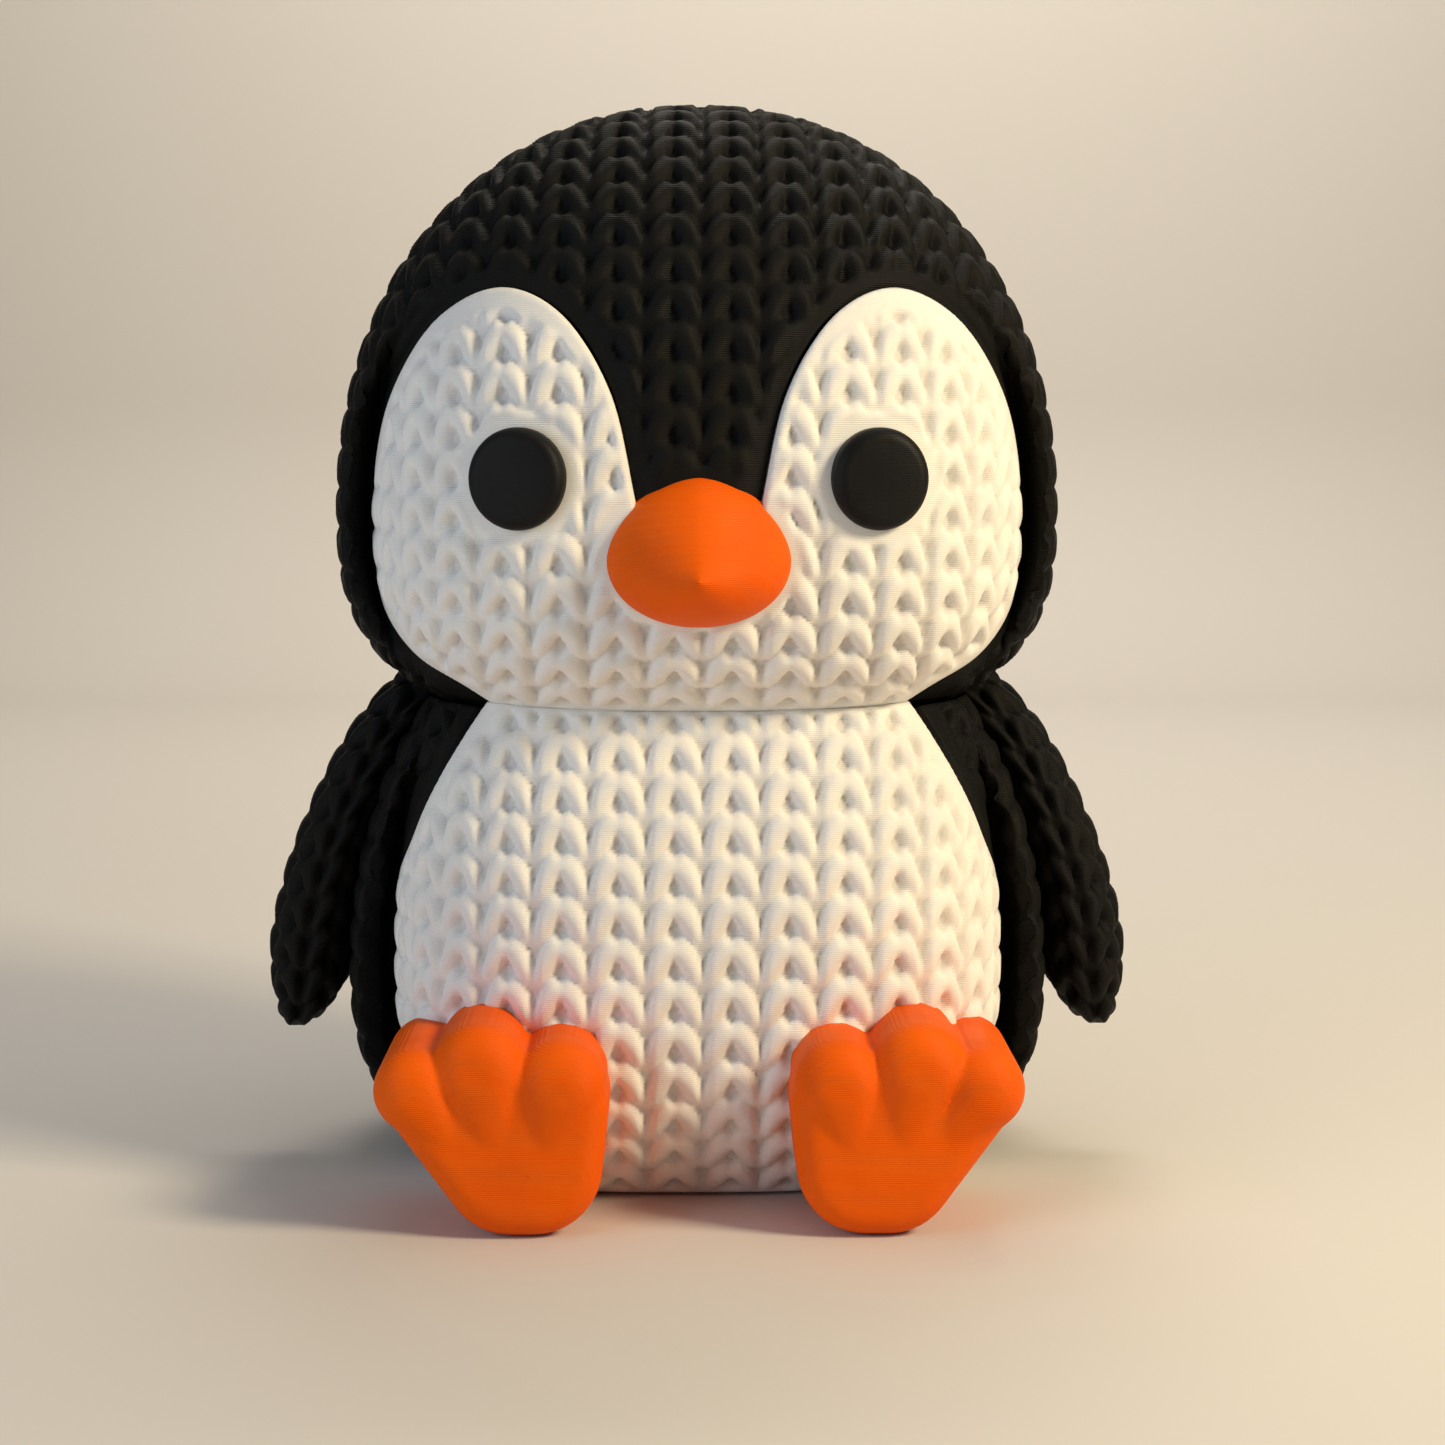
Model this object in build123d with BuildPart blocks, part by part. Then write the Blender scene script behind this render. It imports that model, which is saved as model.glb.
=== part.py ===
from build123d import *

import os

# A seated printed penguin with a knitted relief, in eleven push-fit coloured pieces.
#
# Millimetres. +Z is up, the penguin faces -Y, and its own left side is +X. The origin is on the flat
# base, under the axis of the body. Every surface stands at the crests of the knitted relief.

os.makedirs("parts", exist_ok=True)

# --- Overall fit ----------------------------------------------------------------------------------
FIT = 0.1  # gap on each side between two pieces that are pushed together
SEAM = 0.3  # gap round the edge of a white panel
FAR = 60.0  # reach of a cutting tool past the figure

# --- Round bodies ---------------------------------------------------------------------------------
# wide and deep are half sizes at the waist, rise and drop are the heights above and below it, and
# crown, chin and square are the powers of the outline above, below and in plan.
HEAD = {
    "wide": 37.3, "deep": 34.0, "waist": 67.0, "rise": 41.8, "drop": 22.9,
    "crown": 2.12, "chin": 2.8, "square": 2.45,
}
FACE = {
    "wide": 33.3, "deep": 33.9, "waist": 67.0, "rise": 41.0, "drop": 22.5,
    "crown": 2.15, "chin": 3.0, "square": 2.95,
}
BODY = {
    "wide": 36.5, "deep": 31.0, "waist": 19.0, "rise": 43.0, "drop": 27.3,
    "crown": 2.2, "chin": 2.2, "square": 2.6,
}
BELLY = {
    "wide": 31.5, "deep": 30.9, "waist": 20.0, "rise": 42.0, "drop": 28.3,
    "crown": 2.5, "chin": 2.2, "square": 3.2,
}
RING_STEPS = (0.0, 0.26, 0.5, 0.7, 0.84, 0.93, 0.98)  # places of the rings between waist and pole

# --- White panels: right half of each outline in front view, as (x, z) ----------------------------
PANEL_WALL = 4.5
FACE_BACK = -9.0
FACE_SIDE = (
    (4.9, 63.0),
    (6.1, 69.0),
    (8.4, 79.0),
    (12.9, 86.3),
    (19.0, 89.1),
    (25.5, 86.3),
    (30.5, 79.3),
    (32.8, 72.0),
    (33.1, 65.0),
    (31.6, 59.0),
    (27.7, 53.9),
    (22.5, 50.0),
    (15.0, 43.5),
)
BELLY_BACK = -7.0
BELLY_TOP = 56.0
BELLY_SIDE = (
    (15.5, BELLY_TOP),
    (22.2, 47.5),
    (27.9, 37.6),
    (31.1, 27.6),
    (31.7, 20.0),
    (30.5, 9.0),
    (27.0, -1.0),
)

# --- Neck -----------------------------------------------------------------------------------------
NECK_RADIUS = 9.0
NECK_FOOT = 36.0
NECK_TOP = 56.0

# --- Eyes -----------------------------------------------------------------------------------------
EYE_SPOT = (16.9, -32.2, 70.8)  # where the eye's axis meets the face
EYE_WIDE = 9.3
EYE_HIGH = 9.6
EYE_TURN = 13.0  # degrees that each eye looks outwards
EYE_PROUD = 1.4
EYE_SEAT = 1.2
EYE_ROUND = 1.1
EYE_PEG_RADIUS = 2.5
EYE_PEG = 2.6

# --- Beak -----------------------------------------------------------------------------------------
BEAK_WIDE = 8.9
BEAK_UP = 8.0
BEAK_DOWN = 6.5
BEAK_TOP_POWER = 1.72
BEAK_UNDER_POWER = 2.05
BEAK_Z = 63.4
BEAK_SECTIONS = (  # reach in front of the axis, share of the full size, dip
    (31.5, 1.0, 0.0),
    (33.6, 0.98, 0.0),
    (36.4, 0.73, -0.7),
    (38.7, 0.42, -1.4),
)
BEAK_TIP = (40.6, -1.9)  # reach and dip of the tip
BEAK_PEG_RADIUS = 3.0
BEAK_PEG_END = 26.0

# --- Flippers: height, centre x, half thickness, centre y, half depth -----------------------------
FLIPPER_RINGS = (
    (14.0, 41.9, 2.0, -1.9, 3.6),
    (17.0, 41.1, 3.7, -1.5, 6.4),
    (23.0, 40.2, 4.8, -0.8, 9.0),
    (30.5, 38.5, 4.7, -0.3, 10.0),
    (38.0, 35.7, 4.5, 0.0, 9.6),
    (45.0, 31.9, 4.4, 0.2, 8.2),
    (50.0, 28.0, 3.9, 0.3, 6.0),
)
FLIPPER_TIP = (42.2, -2.0, 12.9)
FLIPPER_TOP = (25.4, 0.3, 53.0)
FLIPPER_PEG_RADIUS = 3.0
FLIPPER_PEG_Z = 38.0
FLIPPER_PEG_REACH = (25.0, 36.0)  # inner and outer end of the peg along x

# --- Feet: circles in front view as (x, z, radius) ------------------------------------------------
TOES = ((26.6, 13.9, 3.95), (20.6, 15.7, 4.5), (13.1, 14.4, 4.35))
TOE_FRONT = 40.2
TOE_ROUND = 3.6
SOLE = ((25.8, 13.0, 3.75), (20.6, 13.0, 4.0), (13.0, 12.4, 4.5), (15.6, 6.5, 6.5), (17.8, 6.3, 6.3))
SOLE_FRONT = 39.4
SOLE_ROUND = 2.2
FOOT_BACK = 21.0
FOOT_PEG_SPOT = (17.5, 9.5)
FOOT_PEG_RADIUS = 3.0
FOOT_PEG_REACH = (17.0, 32.0)  # inner and outer end of the peg along -y


# --- Helpers --------------------------------------------------------------------------------------
def fullness(power):
    """Handle length of the Bezier quarter that stands for a superellipse of this power."""
    return (8 * 2 ** (-1 / power) - 4) / 3


def oval(half_width, up, down, top_power, under_power):
    """A closed outline of four Bezier quarters about the origin of its sketch."""
    with BuildLine(mode=Mode.PRIVATE) as outline:
        for reach, power in ((up, top_power), (-down, under_power)):
            handle = fullness(power)
            for side in (half_width, -half_width):
                Bezier((side, 0), (side, reach * handle), (side * handle, reach), (0, reach))
    return outline.line


def ring_share(step, power):
    """Share of the full width that a round body keeps at this share of its rise or drop."""
    return (1 - step**power) ** (1 / power)


def egg(shape, grow=0.0):
    """A closed round body, with its sizes grown by an even allowance."""
    rise = shape["rise"] + grow
    drop = shape["drop"] + grow
    below = [(-step * drop, ring_share(step, shape["chin"])) for step in RING_STEPS]
    above = [(step * rise, ring_share(step, shape["crown"])) for step in RING_STEPS]
    with BuildPart() as solid:
        for level, share in below[:0:-1] + above:
            wide = (shape["wide"] + grow) * share
            deep = (shape["deep"] + grow) * share
            with BuildSketch(Plane.XY.offset(shape["waist"] + level)):
                with BuildLine():
                    add(oval(wide, deep, deep, shape["square"], shape["square"]))
                make_face()
        bottom = Vertex(0, 0, shape["waist"] - drop)
        top = Vertex(0, 0, shape["waist"] + rise)
        loft([bottom, *solid.pending_faces, top])
    return solid.part


def eased(side, gap):
    """The points of an outline that runs clockwise, each moved outwards by the gap."""
    moved = []
    for before, here, after in zip(side[:1] + side, side, side[1:] + side[-1:]):
        along = Vector(after) - Vector(before)
        out = Vector(-along.Y, along.X).normalized() * gap
        moved.append((here[0] + out.X, here[1] + out.Y))
    return moved


def window(side, back, gap=0.0):
    """A prism from in front of the figure back to y = back, whose outline mirrors side about x = 0."""
    points = eased(side, gap)
    with BuildPart() as prism:
        with BuildSketch(Plane.XZ.offset(-back)):
            with BuildLine():
                Spline(*points)
                Polyline(points[-1], (0, points[-1][1]), (0, points[0][1]), points[0])
            make_face()
            mirror(about=Plane.YZ)
        extrude(amount=FAR + back)
    return prism.part


def rod(start, direction, radius, length, nose=0.0):
    """A cylinder from a start point along a direction, with its far end rounded where a nose is given."""
    with BuildPart() as solid:
        with BuildSketch(Plane(origin=start, z_dir=direction)):
            Circle(radius)
        extrude(amount=length)
        if nose:
            fillet(solid.faces().sort_by(Axis(start, direction))[-1].edges(), nose)
    return solid.part


def beak_horn(grow=0.0):
    """The beak's horn without its peg, grown by an even allowance."""
    with BuildPart() as horn:
        for reach, size, dip in BEAK_SECTIONS:
            with BuildSketch(Plane(origin=(0, -reach, BEAK_Z + dip), x_dir=(1, 0, 0), z_dir=(0, -1, 0))):
                with BuildLine():
                    wide = BEAK_WIDE * size + grow
                    up = BEAK_UP * size + grow
                    down = BEAK_DOWN * size + grow
                    add(oval(wide, up, down, BEAK_TOP_POWER, BEAK_UNDER_POWER))
                make_face()
        tip_reach, tip_dip = BEAK_TIP
        loft([*horn.pending_faces, Vertex(0, -tip_reach - grow, BEAK_Z + tip_dip)])
    return horn.part


def eye_button(grow=0.0):
    """The left eye's domed oval button, grown by an even allowance."""
    look = Vector(0, -1, 0).rotate(Axis.Z, EYE_TURN)
    across = Vector(1, 0, 0).rotate(Axis.Z, EYE_TURN)
    seat = Vector(EYE_SPOT) - look * (EYE_SEAT + grow)
    with BuildPart() as button:
        with BuildSketch(Plane(origin=seat, x_dir=across, z_dir=look)):
            Ellipse(EYE_WIDE / 2 + grow, EYE_HIGH / 2 + grow)
        extrude(amount=EYE_SEAT + EYE_PROUD + grow)
        fillet(button.faces().sort_by(Axis.Y)[0].edges(), EYE_ROUND)
    return button.part


def eye_peg(grow=0.0):
    """The round peg behind the left eye's button, grown by an even allowance."""
    look = Vector(0, -1, 0).rotate(Axis.Z, EYE_TURN)
    start = Vector(EYE_SPOT) - look * (EYE_SEAT + EYE_PEG + grow)
    return rod(start, look, EYE_PEG_RADIUS + grow, EYE_PEG + EYE_SEAT)


def flipper_peg(grow=0.0):
    """The left flipper's round peg, grown by an even allowance."""
    inner, outer = FLIPPER_PEG_REACH
    return rod((inner - grow, 0, FLIPPER_PEG_Z), (1, 0, 0), FLIPPER_PEG_RADIUS + grow, outer - inner + grow)


def foot_peg(grow=0.0):
    """The left foot's round peg, grown by an even allowance."""
    inner, outer = FOOT_PEG_REACH
    start = (FOOT_PEG_SPOT[0], grow - inner, FOOT_PEG_SPOT[1])
    return rod(start, (0, -1, 0), FOOT_PEG_RADIUS + grow, outer - inner + grow)


def both_sides(solid):
    """The left side's solid and its mirror image on the right."""
    return [solid, mirror(solid, about=Plane.YZ)]


def write(piece, name):
    """Label one finished piece and write it as a STEP file named after it."""
    piece.label = name
    export_step(piece, f"parts/{name}.step")


# --- Shared tools ---------------------------------------------------------------------------------
head_solid = egg(HEAD)
head_room = egg(HEAD, FIT)
face_room = egg(FACE, FIT)
body_solid = egg(BODY)
body_room = egg(BODY, FIT)
belly_room = egg(BELLY, FIT)

with BuildPart() as face_recess:
    add(window(FACE_SIDE, FACE_BACK, SEAM))
    add(egg(FACE, -PANEL_WALL), mode=Mode.SUBTRACT)

with BuildPart() as belly_recess:
    add(window(BELLY_SIDE, BELLY_BACK, SEAM))
    add(egg(BELLY, -PANEL_WALL), mode=Mode.SUBTRACT)

neck_socket = rod((0, 0, NECK_FOOT), (0, 0, 1), NECK_RADIUS + FIT, NECK_TOP - NECK_FOOT + FIT)
beak_peg = rod((0, -BEAK_PEG_END, BEAK_Z), (0, -1, 0), BEAK_PEG_RADIUS, BEAK_SECTIONS[0][0] - BEAK_PEG_END)
beak_socket = rod((0, FIT - BEAK_PEG_END, BEAK_Z), (0, -1, 0), BEAK_PEG_RADIUS + FIT, FAR)

# --- Head: the black hood, recessed for the face, with a socket under it for the neck -------------
with BuildPart() as head:
    add(head_solid)
    add(face_recess.part, mode=Mode.SUBTRACT)
    add(neck_socket, mode=Mode.SUBTRACT)
    add(beak_horn(FIT), mode=Mode.SUBTRACT)
    add(beak_socket, mode=Mode.SUBTRACT)
write(head.part, "head")

# --- Face panel: a white shell over the front of the head, holed for the beak and the eyes --------
with BuildPart() as face_panel:
    add(egg(FACE))
    add(window(FACE_SIDE, FACE_BACK - FIT), mode=Mode.INTERSECT)
    add(egg(FACE, FIT - PANEL_WALL), mode=Mode.SUBTRACT)
    add(beak_horn(FIT), mode=Mode.SUBTRACT)
    add(beak_socket, mode=Mode.SUBTRACT)
    add(both_sides(eye_button(FIT)), mode=Mode.SUBTRACT)
    add(both_sides(eye_peg(FIT)), mode=Mode.SUBTRACT)
write(face_panel.part, "face_panel")

# --- Beak: a blunt four-sided horn with a peg behind it -------------------------------------------
with BuildPart() as beak:
    add(beak_horn())
    add(beak_peg)
write(beak.part, "beak")

# --- Body: a dish on top for the head, a neck spigot, and a recess in front for the belly ---------
with BuildPart() as body:
    add(body_solid)
    add(head_room, mode=Mode.SUBTRACT)
    add(face_room, mode=Mode.SUBTRACT)
    add(rod((0, 0, NECK_FOOT), (0, 0, 1), NECK_RADIUS, NECK_TOP - NECK_FOOT))
    add(belly_recess.part, mode=Mode.SUBTRACT)
    add(both_sides(flipper_peg(FIT)), mode=Mode.SUBTRACT)
    add(both_sides(foot_peg(FIT)), mode=Mode.SUBTRACT)
    split(bisect_by=Plane.XY, keep=Keep.TOP)
write(body.part, "body")

# --- Belly panel: a white shell over the front of the body ----------------------------------------
with BuildPart() as belly_panel:
    add(egg(BELLY))
    add(window(BELLY_SIDE, BELLY_BACK - FIT), mode=Mode.INTERSECT)
    add(egg(BELLY, FIT - PANEL_WALL), mode=Mode.SUBTRACT)
    add(face_room, mode=Mode.SUBTRACT)
    add(head.part, mode=Mode.SUBTRACT)
    add(both_sides(foot_peg(FIT)), mode=Mode.SUBTRACT)
    split(bisect_by=Plane.XY, keep=Keep.TOP)
write(belly_panel.part, "belly_panel")

# --- Left flipper: a paddle that hangs from the shoulder on a peg ---------------------------------
with BuildPart() as flipper:
    for height, x, thick, y, deep in FLIPPER_RINGS:
        with BuildSketch(Plane(origin=(x, y, height))):
            Ellipse(thick, deep)
    loft([Vertex(*FLIPPER_TIP), *flipper.pending_faces, Vertex(*FLIPPER_TOP)])
    add(body_room, mode=Mode.SUBTRACT)
    add(head_room, mode=Mode.SUBTRACT)
    add(flipper_peg())

# --- Left foot: a domed sole with three round toes, and a peg behind it ---------------------------
with BuildPart() as foot:
    with BuildSketch(Plane.XZ.offset(FOOT_BACK)):
        for x, z, radius in SOLE:
            with Locations((x, z)):
                Circle(radius)
        make_hull()
    extrude(amount=SOLE_FRONT - FOOT_BACK)
    fillet(foot.faces().sort_by(Axis.Y)[0].edges(), SOLE_ROUND)
    for x, z, radius in TOES:
        add(rod((x, -FOOT_BACK, z), (0, -1, 0), radius, TOE_FRONT - FOOT_BACK, nose=TOE_ROUND))
    split(bisect_by=Plane.XY, keep=Keep.TOP)
    add(body_room, mode=Mode.SUBTRACT)
    add(belly_room, mode=Mode.SUBTRACT)
    add(foot_peg())

# --- Left eye: a domed oval button with a round peg -----------------------------------------------
with BuildPart() as eye:
    add(eye_button())
    add(eye_peg())

for side, name in ((0, "left"), (1, "right")):
    write(both_sides(eye.part)[side], f"{name}_eye")
    write(both_sides(flipper.part)[side], f"{name}_flipper")
    write(both_sides(foot.part)[side], f"{name}_foot")
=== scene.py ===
import logging
import math
from dataclasses import dataclass
from enum import Enum

import bmesh
import bpy
import numpy as np
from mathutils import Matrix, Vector


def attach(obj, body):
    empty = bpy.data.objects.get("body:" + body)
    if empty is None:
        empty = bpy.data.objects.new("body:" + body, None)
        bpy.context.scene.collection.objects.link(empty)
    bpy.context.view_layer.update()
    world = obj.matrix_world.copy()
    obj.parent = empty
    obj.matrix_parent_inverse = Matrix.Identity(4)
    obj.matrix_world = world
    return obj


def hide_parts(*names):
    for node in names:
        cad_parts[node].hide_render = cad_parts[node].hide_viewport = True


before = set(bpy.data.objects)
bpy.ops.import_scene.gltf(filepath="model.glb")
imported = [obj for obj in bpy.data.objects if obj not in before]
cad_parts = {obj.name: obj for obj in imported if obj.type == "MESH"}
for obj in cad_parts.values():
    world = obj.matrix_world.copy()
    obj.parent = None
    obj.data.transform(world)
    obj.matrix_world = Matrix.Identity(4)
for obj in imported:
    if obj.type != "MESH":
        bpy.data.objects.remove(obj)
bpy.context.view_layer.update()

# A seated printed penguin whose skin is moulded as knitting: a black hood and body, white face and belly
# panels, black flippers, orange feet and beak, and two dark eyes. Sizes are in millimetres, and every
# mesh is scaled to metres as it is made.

MM = 0.001
ROW_HEIGHT = 4.05
COLUMN_PITCH = 5.5
SEAM = 0.3
FAR = 1e3
log = logging.getLogger("penguin")

Color = tuple[float, float, float]


class Slot(Enum):
    """The material slots of the record."""

    BLACK = "black_print"
    WHITE = "white_print"
    ORANGE = "orange_print"
    EYE = "eye_print"


class Side(Enum):
    """The penguin's own left and right."""

    LEFT = 1
    RIGHT = -1


# --- Finishes ---------------------------------------------------------------------------------------
@dataclass(frozen=True)
class PrintedPlastic:
    """Filament laid down in level layers, with a soft gloss and a little unevenness."""

    slot: Slot
    body: Color
    tint: Color
    # hollow is painted shade: the darker colour laid into the hollows between the stitches, which the fine
    # flecks also borrow
    hollow: Color
    roughness: tuple[float, float]
    layer_depth: float
    specular: float = 0.5
    glow: float = 0.0

    def material(self) -> bpy.types.Material:
        """Build the finish once, and hand the same one back later.

        Returns:
            The node material for this filament.
        """
        name = f"{self.slot.value}_finish"
        if name in bpy.data.materials:
            return bpy.data.materials[name]
        finish = bpy.data.materials.new(name)
        finish.use_nodes = True
        tree = finish.node_tree
        shader = tree.nodes["Principled BSDF"]
        shader.inputs["Specular IOR Level"].default_value = self.specular
        shader.inputs["Subsurface Weight"].default_value = self.glow
        shader.inputs["Subsurface Scale"].default_value = 0.0008
        place = tree.nodes.new("ShaderNodeTexCoord").outputs["Object"]
        cloud = self._noise(tree, place, 110.0, 3.0)
        grain = self._noise(tree, place, 1400.0, 2.0)
        self._colour(tree, shader, cloud, grain)
        self._gloss(tree, shader, cloud)
        self._layers(tree, shader, place, grain)
        return finish

    def _noise(self, tree: bpy.types.NodeTree, place: bpy.types.NodeSocket, scale: float,
               detail: float) -> bpy.types.NodeSocket:
        """A noise texture over the object's own coordinates.

        Args:
            tree: The finish's nodes.
            place: The coordinates to read.
            scale: Cells in a metre.
            detail: Octaves of finer noise.

        Returns:
            The noise value.
        """
        noise = tree.nodes.new("ShaderNodeTexNoise")
        noise.inputs["Scale"].default_value = scale
        noise.inputs["Detail"].default_value = detail
        tree.links.new(place, noise.inputs["Vector"])
        return noise.outputs["Fac"]

    def _mix(self, tree: bpy.types.NodeTree, share: bpy.types.NodeSocket, low: object,
             high: object) -> bpy.types.NodeSocket:
        """A colour blend between two colours or sockets.

        Args:
            tree: The finish's nodes.
            share: How much of the second one shows.
            low: The first colour or socket.
            high: The second colour or socket.

        Returns:
            The blended colour.
        """
        blend = tree.nodes.new("ShaderNodeMix")
        blend.data_type = "RGBA"
        tree.links.new(share, blend.inputs["Factor"])
        for name, value in (("A", low), ("B", high)):
            socket = [s for s in blend.inputs if s.name == name and s.type == "RGBA"][0]
            if isinstance(value, tuple):
                socket.default_value = (*value, 1.0)
            else:
                tree.links.new(value, socket)
        return [s for s in blend.outputs if s.type == "RGBA"][0]

    def _ramp(self, tree: bpy.types.NodeTree, value: bpy.types.NodeSocket, span: tuple[float, float],
              out: tuple[float, float]) -> bpy.types.NodeSocket:
        """A value carried from one span to another, and held inside it.

        Args:
            tree: The finish's nodes.
            value: The value to carry over.
            span: Its lowest and highest reading.
            out: What those become.

        Returns:
            The new value.
        """
        ramp = tree.nodes.new("ShaderNodeMapRange")
        ramp.inputs["From Min"].default_value = span[0]
        ramp.inputs["From Max"].default_value = span[1]
        ramp.inputs["To Min"].default_value = out[0]
        ramp.inputs["To Max"].default_value = out[1]
        tree.links.new(value, ramp.inputs["Value"])
        return ramp.outputs["Result"]

    def _colour(self, tree: bpy.types.NodeTree, shader: bpy.types.Node, cloud: bpy.types.NodeSocket,
                grain: bpy.types.NodeSocket) -> None:
        """Uneven filament colour, with painted shade that darkens the hollows between the stitches.

        Args:
            tree: The finish's nodes.
            shader: The surface shader.
            cloud: Broad noise.
            grain: Fine noise.
        """
        broad = self._mix(tree, self._ramp(tree, cloud, (0.35, 0.65), (0.0, 1.0)), self.body, self.tint)
        # Painted shade: the stored stitch depth pulls the colour towards the hollow colour in the hollows.
        depth = tree.nodes.new("ShaderNodeAttribute")
        depth.attribute_name = "hollow"
        deep = self._ramp(tree, depth.outputs["Fac"], (0.45, 1.0), (0.0, 0.85))
        shaded = self._mix(tree, deep, broad, self.hollow)
        # Fine flecks of the darker colour at random, part of the filament's own uneven tone, not shade.
        fleck = self._ramp(tree, grain, (0.66, 0.74), (0.0, 0.12))
        tree.links.new(self._mix(tree, fleck, shaded, self.hollow), shader.inputs["Base Color"])

    def _gloss(self, tree: bpy.types.NodeTree, shader: bpy.types.Node, cloud: bpy.types.NodeSocket) -> None:
        """Roughness that wanders between its two values."""
        tree.links.new(self._ramp(tree, cloud, (0.3, 0.7), self.roughness), shader.inputs["Roughness"])

    def _layers(self, tree: bpy.types.NodeTree, shader: bpy.types.Node, place: bpy.types.NodeSocket,
                grain: bpy.types.NodeSocket) -> None:
        """Level print lines a fifth of a millimetre apart, with fine grain over them.

        Args:
            tree: The finish's nodes.
            shader: The surface shader.
            place: The object's own coordinates.
            grain: Fine noise.
        """
        wave = tree.nodes.new("ShaderNodeTexWave")
        wave.bands_direction = "Z"
        wave.inputs["Scale"].default_value = math.pi / 10 / (0.2 * MM)
        wave.inputs["Distortion"].default_value = 0.4
        tree.links.new(place, wave.inputs["Vector"])
        lines = tree.nodes.new("ShaderNodeBump")
        lines.inputs["Strength"].default_value = 0.55
        lines.inputs["Distance"].default_value = self.layer_depth * MM
        tree.links.new(wave.outputs["Fac"], lines.inputs["Height"])
        dust = tree.nodes.new("ShaderNodeBump")
        dust.inputs["Strength"].default_value = 0.35
        dust.inputs["Distance"].default_value = 0.05 * MM
        tree.links.new(grain, dust.inputs["Height"])
        tree.links.new(lines.outputs["Normal"], dust.inputs["Normal"])
        tree.links.new(dust.outputs["Normal"], shader.inputs["Normal"])


# The third colour of each finish is painted shade for the hollows between the stitches.
BLACK_PRINT = PrintedPlastic(
    Slot.BLACK, (0.0052, 0.0054, 0.0052), (0.0078, 0.0074, 0.006), (0.0015, 0.0015, 0.002),
    (0.5, 0.64), 0.05, 0.08,
)
WHITE_PRINT = PrintedPlastic(
    Slot.WHITE, (0.83, 0.81, 0.76), (0.79, 0.77, 0.73), (0.64, 0.61, 0.58),
    (0.5, 0.62), 0.04, 0.3, 0.1,
)
ORANGE_PRINT = PrintedPlastic(
    Slot.ORANGE, (0.86, 0.118, 0.0), (0.78, 0.1, 0.0), (0.5, 0.055, 0.0),
    (0.5, 0.62), 0.05, 0.12,
)
EYE_PRINT = PrintedPlastic(
    Slot.EYE, (0.006, 0.0062, 0.0065), (0.009, 0.009, 0.009), (0.003, 0.003, 0.003),
    (0.44, 0.56), 0.02, 0.12,
)


# --- Number tools -----------------------------------------------------------------------------------
def smooth(value: np.ndarray, low: float, high: float) -> np.ndarray:
    """An eased step from 0 at low to 1 at high."""
    share = np.clip((value - low) / (high - low), 0.0, 1.0)
    return share * share * (3 - 2 * share)


def steps(start: float, end: float, cell: float, coarse_to: float = -FAR, coarse: float = 1.2) -> np.ndarray:
    """Lengths from start to end at even spacing, wider below a given one.

    Args:
        start: First length.
        end: Last length.
        cell: Spacing wanted.
        coarse_to: Length below which the spacing is coarse.
        coarse: The wider spacing.

    Returns:
        The lengths, with both ends kept.
    """
    turn = min(max(coarse_to, start), end)
    runs = []
    if turn > start:
        runs.append(np.linspace(start, turn, max(2, round((turn - start) / coarse)) + 1)[:-1])
    if end > turn:
        runs.append(np.linspace(turn, end, max(2, round((end - turn) / cell)) + 1))
    return np.concatenate(runs)


def curve_through(knots: np.ndarray, count: int) -> np.ndarray:
    """A smooth curve through knots, apart from the first and last, which only steer its ends.

    Args:
        knots: The knots, with a steering one at each end.
        count: Places on each run between two knots.

    Returns:
        Closely spaced places that end on the last knot passed.
    """
    t = np.linspace(0, 1, count, endpoint=False)[:, None]
    made = []
    for a, b, c, d in zip(knots, knots[1:], knots[2:], knots[3:]):
        bend = 2 * b + (c - a) * t + (2 * a - 5 * b + 4 * c - d) * t**2
        made.append(0.5 * (bend + (3 * b - a - 3 * c + d) * t**3))
    return np.vstack([*made, knots[-2:-1]])


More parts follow.
